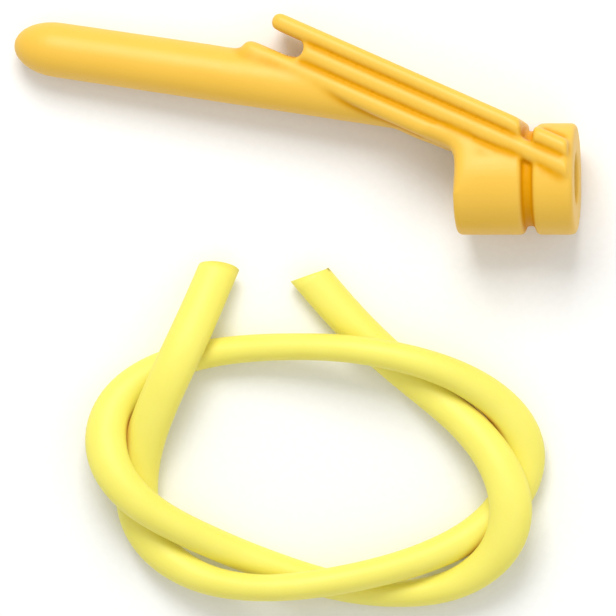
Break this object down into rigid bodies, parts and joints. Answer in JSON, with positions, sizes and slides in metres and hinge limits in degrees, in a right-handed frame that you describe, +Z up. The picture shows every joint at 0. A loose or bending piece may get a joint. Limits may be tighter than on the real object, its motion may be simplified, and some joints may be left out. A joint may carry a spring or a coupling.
{
  "type": "hand-held oil pump",
  "caption": "Hand-held gear oil pump head in one moulding, with an offset round grip, a ribbed arm, a bored foot-valve hub and a loose coiled hose.",
  "frame": {"origin": "centre of the pump head's footprint on the surface it lies on, hose left out", "axes": "+X from the grip's nose to the inlet end, +Y from the hub's side towards the grip's side, +Z up from the surface"},
  "size_m": [0.2834, 0.2968, 0.0607],
  "materials": {
    "yellow_moulding": "satin golden-yellow moulded plastic",
    "hose_pvc": "soft lemon-yellow PVC with a low sheen",
    "white_acetal": "natural acetal, turned",
    "black_nitrile": "matt black nitrile rubber",
    "stainless_steel": "bright stainless steel",
    "black_nylon": "black moulded nylon"
  },
  "bodies": {
    "pump_head": {"pump_head_moulding": "yellow_moulding", "inlet_strainer": "stainless_steel", "strainer_clip": "stainless_steel", "valve_seat": "white_acetal", "seat_o_ring": "black_nitrile", "ball_cage": "black_nylon", "hose_spigot": "black_nylon", "spigot_o_ring": "black_nitrile", "gland_nut": "black_nylon", "hose": "hose_pvc"},
    "valve_ball": {"valve_ball": "stainless_steel"}
  },
  "joints": [
    {"name": "ball_lift", "type": "slide", "parent": "pump_head", "child": "valve_ball", "axis": [-0.9985, 0, -0.0555], "range_m": [0, 0.004]}
  ]
}
